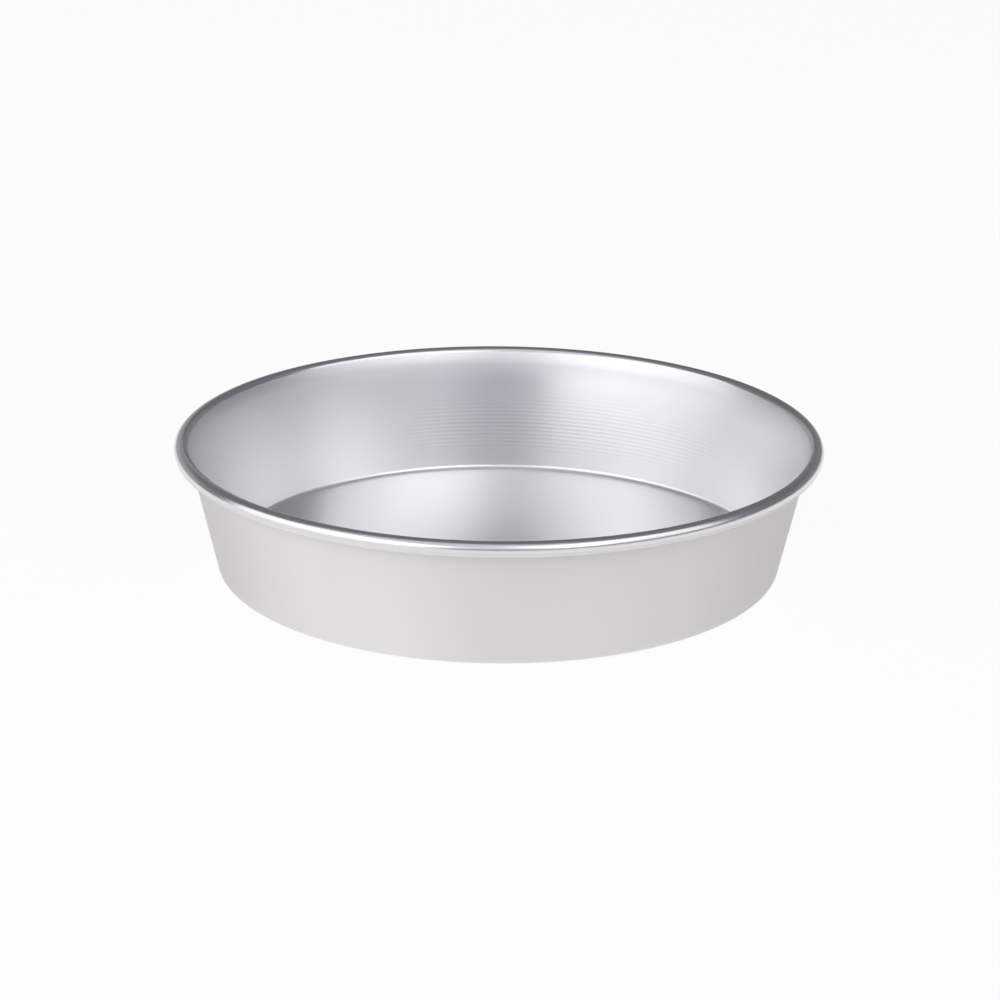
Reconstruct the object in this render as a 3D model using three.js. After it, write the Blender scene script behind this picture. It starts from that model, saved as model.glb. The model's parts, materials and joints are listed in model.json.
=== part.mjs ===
// Round cake pan with a sloping wall, spun from one disc of aluminium sheet. Its rim is rolled
// outwards around a stiffening wire. Millimetres, +Z up. The origin is the centre of the underside,
// on the surface that the pan stands on.

import * as THREE from 'three';

// Driving dimensions
const RIM_DIAMETER = 280;        // across the outside of the rolled rim
const PAN_HEIGHT = 57.7;         // underside to the top of the rim
const BASE_DIAMETER = 238.6;     // flat circle that the pan stands on
const SHEET = 1.2;               // thickness of the aluminium sheet
const CORNER_RADIUS = 2.25;      // inside corner between floor and wall
const FLARE_RADIUS = 26;         // inner face of the wide bend that carries the wall out into the roll
const WIRE_DIAMETER = 3.4;       // stiffening wire inside the rolled rim
const WIRE_CLEARANCE = 0.3;      // gap between the wire and the sheet rolled around it
const WIRE_BUTT_GAP = 0.8;       // gap between the two ends of the wire, where they meet
const CURL_RISE = 64;            // degrees of the roll, from the flare up to the top of the rim
const CURL_SWEEP = 225;          // degrees of the roll, from the top of the rim round towards the wall

// How finely the round forms are divided
const TURN_STEPS = 96;           // steps round the pan
const CORNER_STEPS = 4;
const FLARE_STEPS = 4;
const RISE_STEPS = 4;
const CURL_STEPS = 10;
const WIRE_SIDES = 10;

// Rolled rim, worked out from the wire that it holds. Directions on it, and on the other bends, are in
// radians anticlockwise from straight out.
const DOWN = -Math.PI / 2;
const UP = Math.PI / 2;
const curlInside = WIRE_DIAMETER / 2 + WIRE_CLEARANCE;
const curlOutside = curlInside + SHEET;
const curlCentre = new THREE.Vector2(RIM_DIAMETER / 2 - curlOutside, PAN_HEIGHT - curlOutside);
const curlStart = UP + THREE.MathUtils.degToRad(CURL_RISE);
const curlEnd = UP - THREE.MathUtils.degToRad(CURL_SWEEP);

// Centres of the flare, which runs smoothly into the start of the roll, and of the bend at the floor
const flareCentre = onArc(curlCentre, curlOutside - FLARE_RADIUS, curlStart);
const cornerCentre = new THREE.Vector2(BASE_DIAMETER / 2, SHEET + CORNER_RADIUS);

// The wall is the straight line that touches both bends: its lean from upright, in radians
const bendToBend = flareCentre.clone().sub(cornerCentre);
const wallLean = Math.acos((FLARE_RADIUS + CORNER_RADIUS) / bendToBend.length()) - bendToBend.angle();
const wallOutward = -wallLean;
const wallInward = Math.PI - wallLean;

// Point of the section in a direction from a bend's centre
function onArc(centre, radius, angle) {
  return new THREE.Vector2(
    centre.x + radius * Math.cos(angle),
    centre.y + radius * Math.sin(angle),
  );
}

// Points along an arc of the section, both ends included
function arc(centre, radius, fromAngle, toAngle, steps) {
  return Array.from({ length: steps + 1 }, (_, step) => (
    onArc(centre, radius, THREE.MathUtils.lerp(fromAngle, toAngle, step / steps))
  ));
}

// Points along one face of the roll, from the flare over the top of the rim to the free edge
function roll(radius) {
  return [
    ...arc(curlCentre, radius, curlStart, UP, RISE_STEPS),
    ...arc(curlCentre, radius, UP, curlEnd, CURL_STEPS).slice(1),
  ];
}

// The sheet's lower and outer face, from the middle of the underside to the free edge of the roll
function outerFace() {
  return [
    new THREE.Vector2(0, 0),
    ...arc(cornerCentre, CORNER_RADIUS + SHEET, DOWN, wallOutward, CORNER_STEPS),
    ...arc(flareCentre, FLARE_RADIUS - SHEET, wallInward, curlStart, FLARE_STEPS),
    ...roll(curlInside).slice(1),
  ];
}

// The sheet's outer roll, upper and inner face, from the free edge back to the middle of the floor
function innerFace() {
  return [
    ...roll(curlOutside).reverse(),
    ...arc(flareCentre, FLARE_RADIUS, curlStart, wallInward, FLARE_STEPS).slice(1),
    ...arc(cornerCentre, CORNER_RADIUS, wallOutward, DOWN, CORNER_STEPS),
    new THREE.Vector2(0, SHEET),
  ];
}

// Floor, wall, flare and rolled rim: one sheet, so one solid of revolution
function panShell() {
  const section = [...outerFace(), ...innerFace()];
  const geometry = new THREE.LatheGeometry(section, TURN_STEPS);
  const satinAluminium = new THREE.MeshStandardMaterial({
    color: 0xd2d2d6,
    roughness: 0.38,
    metalness: 1,
  });
  const shell = new THREE.Mesh(geometry, satinAluminium);
  shell.name = 'pan_shell';
  shell.rotation.x = Math.PI / 2;
  return shell;
}

// Centre line of the wire: one turn, less the gap between its ends
class WireLine extends THREE.Curve {
  getPoint(along, target = new THREE.Vector3()) {
    const halfGap = WIRE_BUTT_GAP / 2 / curlCentre.x;
    const angle = THREE.MathUtils.lerp(halfGap, 2 * Math.PI - halfGap, along);
    return target.set(
      curlCentre.x * Math.cos(angle),
      curlCentre.x * Math.sin(angle),
      curlCentre.y,
    );
  }
}

// Stiffening wire, trapped in the rolled rim
function rimWire() {
  const round = new THREE.Shape().absarc(0, 0, WIRE_DIAMETER / 2, 0, 2 * Math.PI);
  const geometry = new THREE.ExtrudeGeometry(round, {
    extrudePath: new WireLine(),
    steps: TURN_STEPS,
    curveSegments: WIRE_SIDES / 2,  // the circle's outline takes two sides to a segment
  });
  const galvanisedSteel = new THREE.MeshStandardMaterial({
    color: 0x9b9d9f,
    roughness: 0.5,
    metalness: 1,
  });
  const wire = new THREE.Mesh(geometry, galvanisedSteel);
  wire.name = 'rim_wire';
  return wire;
}

const cakePan = new THREE.Group();
cakePan.add(panShell(), rimWire());

export default cakePan;
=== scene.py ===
"""Round cake pan of satin spun aluminium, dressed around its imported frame. Metres, +Z up."""

import json
import math

import bpy
from mathutils import Matrix, Vector


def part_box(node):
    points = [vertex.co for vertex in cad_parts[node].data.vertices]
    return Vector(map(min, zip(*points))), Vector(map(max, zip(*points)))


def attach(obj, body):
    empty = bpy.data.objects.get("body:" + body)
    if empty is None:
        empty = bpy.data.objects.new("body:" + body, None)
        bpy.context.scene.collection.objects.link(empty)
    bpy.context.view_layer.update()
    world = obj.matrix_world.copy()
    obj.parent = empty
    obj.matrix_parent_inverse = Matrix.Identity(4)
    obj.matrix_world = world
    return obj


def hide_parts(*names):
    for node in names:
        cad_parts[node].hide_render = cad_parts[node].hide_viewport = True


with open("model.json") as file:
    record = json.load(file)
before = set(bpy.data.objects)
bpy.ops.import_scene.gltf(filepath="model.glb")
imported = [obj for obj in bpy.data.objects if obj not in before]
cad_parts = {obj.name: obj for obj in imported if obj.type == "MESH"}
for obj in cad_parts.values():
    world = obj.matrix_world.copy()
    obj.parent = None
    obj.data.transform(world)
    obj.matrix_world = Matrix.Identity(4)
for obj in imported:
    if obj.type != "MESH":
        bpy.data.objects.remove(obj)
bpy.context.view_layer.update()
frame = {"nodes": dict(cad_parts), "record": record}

MM = 0.001

# Sizes that the frame gives
shell_low, shell_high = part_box("pan_shell")
wire_low, wire_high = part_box("rim_wire")
mounts = {mount["name"]: mount for mount in frame["record"]["mounts"]}
RIM_RADIUS = shell_high.x
PAN_HEIGHT = shell_high.z
SHEET = mounts["floor_inside"]["pos_m"][2] - mounts["base_underside"]["pos_m"][2]
ROLL_HEIGHT = (wire_low.z + wire_high.z) / 2

# Sizes of the section that the frame doesn't name
BASE_RADIUS = 119.3 * MM
CORNER_RADIUS = 2.25 * MM
FLARE_RADIUS = 26 * MM
ROLL_RISE = math.radians(64)     # from the flare up to the top of the rim
ROLL_SWEEP = math.radians(225)   # from the top of the rim round towards the wall
ROLL_LINE = math.radians(-15)    # direction on the roll, from straight out, where its finish changes

# Fineness of the mesh: steps round the pan, and steps along each stretch of the section
TURN_STEPS = 288
FLAT_STEPS = 10
WALL_STEPS = 10
CORNER_STEPS = 14
FLARE_STEPS = 12
RISE_STEPS = 12
UNDER_ROLL_STEPS = 16
OVER_ROLL_STEPS = 14
HIDDEN_ROLL_STEPS = 16
RING_STEPS = 6
SHARP_EDGE = math.radians(50)    # faces that meet at a wider angle keep a hard edge

# Rings that the spinning tool left on the inside of the wall
RING_PITCH = 1.84 * MM
RING_DEPTH = 0.012 * MM
RING_SINK = 0.68         # below 1, the rings are deepest in the lower half of the wall
RING_FADE = 3            # the higher, the sooner they fade above and below

# Finish of each stretch of the sheet. Its highlights are drawn out across the rings (stretch, 0 to 1).
# The fine rings have a pitch, a depth, and a tone that goes up and down by a share of the colour.
# Towards the rim, the roughness is multiplied by dulled, which gives the flare its soft highlights.
FINISHES = {
    "inside": dict(colour=(0.84, 0.84, 0.84), roughness=0.35, stretch=0.3,
                   pitch=0.6 * MM, depth=0.001 * MM, tone=0.03, dulled=1.3),
    "floor": dict(colour=(0.86, 0.86, 0.86), roughness=0.28, stretch=0.7,
                  pitch=0.6 * MM, depth=0.0002 * MM, tone=0.01, dulled=1),
    "outside": dict(colour=(0.82, 0.797, 0.797), roughness=0.65, stretch=0.65,
                    pitch=1.2 * MM, depth=0.0005 * MM, tone=0.02, dulled=1),
    "rim": dict(colour=(0.76, 0.75, 0.75), roughness=0.25, stretch=0.15,
                pitch=0.8 * MM, depth=0.0002 * MM, tone=0.02, dulled=1),
}
DULL_START = 43 * MM     # heights between which the dulling sets in
DULL_END = 51 * MM
QUARTER_TURN = 0.25      # of a whole turn: from along the rings to across them
ROUGHNESS_SPREAD = 0.04  # share by which the roughness goes up and down from ring to ring
RING_DETAIL = 3          # octaves of the noise that makes the fine rings

# Zinc coat of the wire: its darkest and lightest tones, its roughnesses, and the scale of its grain
ZINC_TONES = ((0.29, 0.3, 0.31), (0.39, 0.4, 0.41))
ZINC_ROUGHNESS = (0.42, 0.58)
ZINC_GRAIN = 900

# Camera, as the photograph was taken
CAMERA_DISTANCE = 1075.79 * MM
CAMERA_HEIGHT = 401.97 * MM
CAMERA_TILT = 0.33547
CAMERA_TURN = 0.00054
CAMERA_ROLL = 0.00813
FOCAL_LENGTH = 93.843
SENSOR_WIDTH = 36.0

# Studio: each softbox by its direction from the pan (degrees to the right of the camera, degrees up),
# its width and height, and its glow, where 1 is as bright as a white page
SOFTBOX_DISTANCE = 4.0
SOFTBOXES = {
    "left_softbox": (-61, 23.5, 6.6, 3.4, 1.2),
    "right_softbox": (50, 40, 4.8, 3.2, 1.03),
    "front_softbox": (-12, 52, 8.0, 5.5, 0.5),
    "back_left_panel": (-150, 11, 4.0, 1.5, 0.26),
    "back_right_panel": (150, 11, 4.0, 1.5, 0.08),
}
LAMP_COLOUR = (1.0, 0.985, 1.0)
ROOM_FRONT_COLOUR = (0.235, 0.255, 0.32)
ROOM_BACK_COLOUR = (0.155, 0.152, 0.162)
STRAIGHT_AHEAD = -1      # Y of the direction from the pan to the camera's side of the room
FLOOR_REACH = 9.0
FLOOR_DROP = 0.02 * MM
FLOOR_GLOW = 0.92        # share of even white in the floor that a viewer sees
PAPER_COLOUR = (0.95, 0.95, 0.95)


def on_arc(centre, radius, angle):
    """The point (radius, height) of the section in a direction from a bend's centre."""
    return (centre[0] + radius * math.cos(angle), centre[1] + radius * math.sin(angle))


def arc(centre, radius, start, end, steps):
    """Points along an arc of the section, both ends included."""
    return [on_arc(centre, radius, start + (end - start) * step / steps) for step in range(steps + 1)]


def line(start, end, steps):
    """Points along a straight stretch of the section, without its two ends."""
    return [
        tuple(a + (b - a) * step / steps for a, b in zip(start, end))
        for step in range(1, steps)
    ]


def ringed(point, top, foot, lean):
    """A point of the inner wall, moved along the wall's normal by the ring that it lies on."""
    up_wall = math.dist(point, foot)
    share = up_wall / math.dist(top, foot)
    strength = math.sin(math.pi * share ** RING_SINK) ** RING_FADE
    height = RING_DEPTH * strength * math.sin(2 * math.pi * up_wall / RING_PITCH)
    return (point[0] - height * math.cos(lean), point[1] + height * math.sin(lean))


def section():
    """The sheet's section as stretches of one finish each, from the underside's middle to the floor's."""
    roll_outside = PAN_HEIGHT - ROLL_HEIGHT
    roll_centre = (RIM_RADIUS - roll_outside, ROLL_HEIGHT)
    down, up = -math.pi / 2, math.pi / 2
    roll_start, roll_end = up + ROLL_RISE, up - ROLL_SWEEP
    flare_centre = on_arc(roll_centre, roll_outside - FLARE_RADIUS, roll_start)
    corner_centre = (BASE_RADIUS, SHEET + CORNER_RADIUS)
    across = flare_centre[0] - corner_centre[0]
    rise = flare_centre[1] - corner_centre[1]
    lean = math.acos((FLARE_RADIUS + CORNER_RADIUS) / math.hypot(across, rise)) - math.atan2(rise, across)
    inward = math.pi - lean

    outer_corner = arc(corner_centre, CORNER_RADIUS + SHEET, down, -lean, CORNER_STEPS)
    outer_flare = arc(flare_centre, FLARE_RADIUS - SHEET, inward, roll_start, FLARE_STEPS)
    inside_roll = arc(roll_centre, roll_outside - SHEET, roll_start, roll_end, HIDDEN_ROLL_STEPS)
    under_roll = arc(roll_centre, roll_outside, roll_end, ROLL_LINE, UNDER_ROLL_STEPS)
    over_roll = arc(roll_centre, roll_outside, ROLL_LINE, up, OVER_ROLL_STEPS)
    roll_rise = arc(roll_centre, roll_outside, up, roll_start, RISE_STEPS)
    inner_flare = arc(flare_centre, FLARE_RADIUS, roll_start, inward, FLARE_STEPS)
    inner_corner = arc(corner_centre, CORNER_RADIUS, -lean, down, CORNER_STEPS)
    top, foot = inner_flare[-1], inner_corner[0]
    ring_rows = line(top, foot, round(math.dist(top, foot) / RING_PITCH * RING_STEPS))
    return [
        ("outside", [(0.0, 0.0)] + line((0.0, 0.0), outer_corner[0], FLAT_STEPS)),
        ("outside", outer_corner),
        ("outside", line(outer_corner[-1], outer_flare[0], WALL_STEPS) + outer_flare),
        ("rim", inside_roll[1:]),
        ("outside", under_roll),
        ("rim", over_roll[1:] + roll_rise[1:]),
        ("inside", inner_flare[1:]),
        ("inside", [ringed(point, top, foot, lean) for point in ring_rows]),
        ("inside", inner_corner),
        ("floor", line(inner_corner[-1], (0.0, SHEET), FLAT_STEPS) + [(0.0, SHEET)]),
    ]


def run_shares(rows):
    """How far along the section each row lies, from 0 to 1."""
    runs = [0.0]
    for (_, r0, z0), (_, r1, z1) in zip(rows, rows[1:]):
        runs.append(runs[-1] + math.hypot(r1 - r0, z1 - z0))
    return [run / runs[-1] for run in runs]


def turn_rows(rows):
    """Points of each row turned about Z, and the number of the first point of each row."""
    vertices, starts = [], []
    for _, r, z in rows:
        starts.append(len(vertices))
        for step in range(TURN_STEPS if r > 0 else 1):
            angle = 2 * math.pi * step / TURN_STEPS
            vertices.append((r * math.cos(angle), r * math.sin(angle), z))
    return vertices, starts


def band(low, high, low_run, high_run, low_is_middle, high_is_middle):
    """Faces between two rows of points, and the place of their corners on the unrolled sheet."""
    faces, corners = [], []
    for step in range(TURN_STEPS):
        after = (step + 1) % TURN_STEPS
        left, right = step / TURN_STEPS, (step + 1) / TURN_STEPS
        if low_is_middle:
            faces.append((low, high + after, high + step))
            corners += [(left, low_run), (right, high_run), (left, high_run)]
        elif high_is_middle:
            faces.append((low + step, low + after, high))
            corners += [(left, low_run), (right, low_run), (right, high_run)]
        else:
            faces.append((low + step, low + after, high + after, high + step))
            corners += [(left, low_run), (right, low_run), (right, high_run), (left, high_run)]
    return faces, corners


def revolve(stretches, name):
    """A closed mesh turned from the section about Z, with a material slot for each kind of stretch."""
    rows = [(kind, r, z) for kind, points in stretches for r, z in points]
    kinds = sorted({kind for kind, _, _ in rows})
    runs = run_shares(rows)
    vertices, starts = turn_rows(rows)
    faces, slots, corners = [], [], []
    for index in range(len(rows) - 1):
        after = index + 1
        low_is_middle, high_is_middle = rows[index][1] == 0, rows[after][1] == 0
        band_faces, band_corners = band(
            starts[index], starts[after], runs[index], runs[after], low_is_middle, high_is_middle)
        faces += band_faces
        corners += band_corners
        slots += [kinds.index(rows[after][0])] * TURN_STEPS
    mesh = bpy.data.meshes.new(name)
    mesh.from_pydata(vertices, [], faces)
    mesh.polygons.foreach_set("material_index", slots)
    unrolled = mesh.uv_layers.new(name="OFBake")
    unrolled.uv.foreach_set("vector", [number for corner in corners for number in corner])
    mesh.shade_smooth()
    mesh.set_sharp_from_angle(angle=SHARP_EDGE)
    piece = bpy.data.objects.new(name, mesh)
    bpy.context.collection.objects.link(piece)
    return piece, kinds


def add_node(owner, kind, **settings):
    """A new node of a material or world, with its plain settings."""
    node = owner.node_tree.nodes.new("ShaderNode" + kind)
    for name, value in settings.items():
        setattr(node, name, value)
    return node


def ring_noise(material, pitch):
    """Noise that changes only from ring to ring: it runs along radius plus height."""
    links = material.node_tree.links
    place = add_node(material, "TexCoord")
    flat = add_node(material, "VectorMath", operation="MULTIPLY")
    flat.inputs[1].default_value = (1, 1, 0)
    radius = add_node(material, "VectorMath", operation="LENGTH")
    height = add_node(material, "SeparateXYZ")
    along = add_node(material, "Math", operation="ADD")
    noise = add_node(material, "TexNoise", noise_dimensions="1D")
    noise.inputs["Scale"].default_value = 1 / pitch
    noise.inputs["Detail"].default_value = RING_DETAIL
    links.new(place.outputs["Object"], flat.inputs[0])
    links.new(place.outputs["Object"], height.inputs["Vector"])
    links.new(flat.outputs["Vector"], radius.inputs[0])
    links.new(radius.outputs["Value"], along.inputs[0])
    links.new(height.outputs["Z"], along.inputs[1])
    links.new(along.outputs["Value"], noise.inputs["W"])
    return noise.outputs["Fac"]


def dulling(material, factor):
    """A multiplier that rises from 1 to the factor towards the rim."""
    links = material.node_tree.links
    place = add_node(material, "TexCoord")
    height = add_node(material, "SeparateXYZ")
    rise = add_node(material, "MapRange", interpolation_type="SMOOTHSTEP")
    rise.inputs["From Min"].default_value = DULL_START
    rise.inputs["From Max"].default_value = DULL_END
    rise.inputs["To Min"].default_value = 1
    rise.inputs["To Max"].default_value = factor
    links.new(place.outputs["Object"], height.inputs["Vector"])
    links.new(height.outputs["Z"], rise.inputs["Value"])
    return rise.outputs["Result"]


def spread(material, value, low, high):
    """A value from 0 to 1 brought to the range from low to high."""
    node = add_node(material, "MapRange")
    node.inputs["To Min"].default_value = low
    node.inputs["To Max"].default_value = high
    material.node_tree.links.new(value, node.inputs["Value"])
    return node.outputs["Result"]


def spun_metal(name, colour, roughness, stretch, pitch, depth, tone, dulled):
    """Satin aluminium with fine spinning rings, whose highlights are drawn out across the rings."""
    material = bpy.data.materials.new(name)
    material.use_nodes = True
    links = material.node_tree.links
    shader = material.node_tree.nodes["Principled BSDF"]
    shader.inputs["Metallic"].default_value = 1
    shader.inputs["Anisotropic"].default_value = stretch
    shader.inputs["Anisotropic Rotation"].default_value = QUARTER_TURN
    rings = ring_noise(material, pitch)
    tones = add_node(material, "ValToRGB")
    for element, share in zip(tones.color_ramp.elements, (1 - tone, 1 + tone)):
        element.color = (*[share * c for c in colour], 1)
    relief = add_node(material, "Bump")
    relief.inputs["Strength"].default_value = 1
    relief.inputs["Distance"].default_value = depth
    tangent = add_node(material, "Tangent", direction_type="RADIAL", axis="Z")
    low, high = (1 - ROUGHNESS_SPREAD) * roughness, (1 + ROUGHNESS_SPREAD) * roughness
    links.new(rings, tones.inputs["Fac"])
    links.new(rings, relief.inputs["Height"])
    links.new(tones.outputs["Color"], shader.inputs["Base Color"])
    dullness = add_node(material, "Math", operation="MULTIPLY")
    links.new(spread(material, rings, low, high), dullness.inputs[0])
    links.new(dulling(material, dulled), dullness.inputs[1])
    links.new(dullness.outputs["Value"], shader.inputs["Roughness"])
    links.new(relief.outputs["Normal"], shader.inputs["Normal"])
    links.new(tangent.outputs["Tangent"], shader.inputs["Tangent"])
    return material


def galvanised_steel(name):
    """Dull zinc-coated wire with a faint grain."""
    material = bpy.data.materials.new(name)
    material.use_nodes = True
    links = material.node_tree.links
    shader = material.node_tree.nodes["Principled BSDF"]
    shader.inputs["Metallic"].default_value = 1
    grain = add_node(material, "TexNoise")
    grain.inputs["Scale"].default_value = ZINC_GRAIN
    tones = add_node(material, "ValToRGB")
    for element, tone in zip(tones.color_ramp.elements, ZINC_TONES):
        element.color = (*tone, 1)
    links.new(grain.outputs["Fac"], tones.inputs["Fac"])
    links.new(tones.outputs["Color"], shader.inputs["Base Color"])
    links.new(spread(material, grain.outputs["Fac"], *ZINC_ROUGHNESS), shader.inputs["Roughness"])
    return material


def make_pan():
    """The sheet of the pan: floor, wall, flare and rolled rim."""
    pan, kinds = revolve(section(), "spun_pan")
    for kind in kinds:
        pan.data.materials.append(spun_metal("spun_" + kind, **FINISHES[kind]))
    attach(pan, "root")
    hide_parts("pan_shell")


def dress_wire():
    """The wire keeps its solid and gets its material."""
    wire = frame["nodes"]["rim_wire"]
    wire.data.materials.clear()
    wire.data.materials.append(galvanised_steel("galvanised_wire"))


def make_camera():
    """The camera that stands where the photograph was taken from."""
    data = bpy.data.cameras.new("camera")
    data.sensor_width = SENSOR_WIDTH
    data.lens = FOCAL_LENGTH
    camera = bpy.data.objects.new("camera", data)
    bpy.context.collection.objects.link(camera)
    turn = Matrix.Rotation(-CAMERA_TURN, 4, "Z")
    tilt = Matrix.Rotation(math.pi / 2 - CAMERA_TILT, 4, "X")
    roll = Matrix.Rotation(CAMERA_ROLL, 4, "Z")
    place = Matrix.Translation(Vector((0, -CAMERA_DISTANCE, CAMERA_HEIGHT)))
    camera.matrix_world = place @ turn @ tilt @ roll
    bpy.context.scene.camera = camera


def background_ray(material):
    """1 for a ray from the camera, a reflection or a see-through surface, and otherwise 0."""
    links = material.node_tree.links
    path = add_node(material, "LightPath")
    seen = add_node(material, "Math", operation="MAXIMUM")
    seen_through = add_node(material, "Math", operation="MAXIMUM")
    links.new(path.outputs["Is Camera Ray"], seen.inputs[0])
    links.new(path.outputs["Is Glossy Ray"], seen.inputs[1])
    links.new(seen.outputs["Value"], seen_through.inputs[0])
    links.new(path.outputs["Is Transmission Ray"], seen_through.inputs[1])
    return seen_through.outputs["Value"]


def white_floor():
    """Mostly even white, with a share of lit white paper that takes the pan's shadow."""
    material = bpy.data.materials.new("white_floor")
    material.use_nodes = True
    nodes, links = material.node_tree.nodes, material.node_tree.links
    paper = nodes["Principled BSDF"]
    paper.inputs["Base Color"].default_value = (*PAPER_COLOUR, 1)
    paper.inputs["Roughness"].default_value = 1
    paper.inputs["Specular IOR Level"].default_value = 0
    white = add_node(material, "Emission")
    share = add_node(material, "Math", operation="MULTIPLY")
    share.inputs[1].default_value = FLOOR_GLOW
    blend = add_node(material, "MixShader")
    links.new(background_ray(material), share.inputs[0])
    links.new(share.outputs["Value"], blend.inputs[0])
    links.new(paper.outputs["BSDF"], blend.inputs[1])
    links.new(white.outputs["Emission"], blend.inputs[2])
    links.new(blend.outputs["Shader"], nodes["Material Output"].inputs["Surface"])
    return material


def make_floor():
    """A wide floor, just below the pan."""
    near, far = -FLOOR_REACH, FLOOR_REACH
    mesh = bpy.data.meshes.new("floor")
    mesh.from_pydata([(near, near, 0), (far, near, 0), (far, far, 0), (near, far, 0)], [], [(0, 1, 2, 3)])
    mesh.materials.append(white_floor())
    floor = bpy.data.objects.new("floor", mesh)
    bpy.context.collection.objects.link(floor)
    floor.location.z = -FLOOR_DROP


def make_softbox(name, right, up, width, height, glow):
    """A rectangular lamp that faces the pan. Its power is its glow times its area times pi."""
    data = bpy.data.lights.new(name, "AREA")
    data.shape = "RECTANGLE"
    data.size, data.size_y = width, height
    data.color = LAMP_COLOUR
    data.energy = glow * width * height * math.pi
    lamp = bpy.data.objects.new(name, data)
    bpy.context.collection.objects.link(lamp)
    turn = Matrix.Rotation(math.radians(right), 4, "Z")
    tilt = Matrix.Rotation(math.radians(90 - up), 4, "X")
    lamp.matrix_world = turn @ tilt @ Matrix.Translation((0, 0, SOFTBOX_DISTANCE))


def make_room():
    """A dim room around the softboxes, cool in front of the pan and darker behind it."""
    world = bpy.data.worlds.new("studio")
    world.use_nodes = True
    links = world.node_tree.links
    direction = add_node(world, "TexCoord")
    axes = add_node(world, "SeparateXYZ")
    backness = add_node(world, "MapRange")
    backness.inputs["From Min"].default_value = STRAIGHT_AHEAD
    tones = add_node(world, "ValToRGB")
    for element, colour in zip(tones.color_ramp.elements, (ROOM_FRONT_COLOUR, ROOM_BACK_COLOUR)):
        element.color = (*colour, 1)
    links.new(direction.outputs["Generated"], axes.inputs["Vector"])
    links.new(axes.outputs["Y"], backness.inputs["Value"])
    links.new(backness.outputs["Result"], tones.inputs["Fac"])
    links.new(tones.outputs["Color"], world.node_tree.nodes["Background"].inputs["Color"])
    bpy.context.scene.world = world


make_camera()
make_pan()
dress_wire()
make_floor()
make_room()
for softbox, (right, up, width, height, glow) in SOFTBOXES.items():
    make_softbox(softbox, right, up, width, height, glow)

bpy.context.scene.view_settings.view_transform = "Standard"
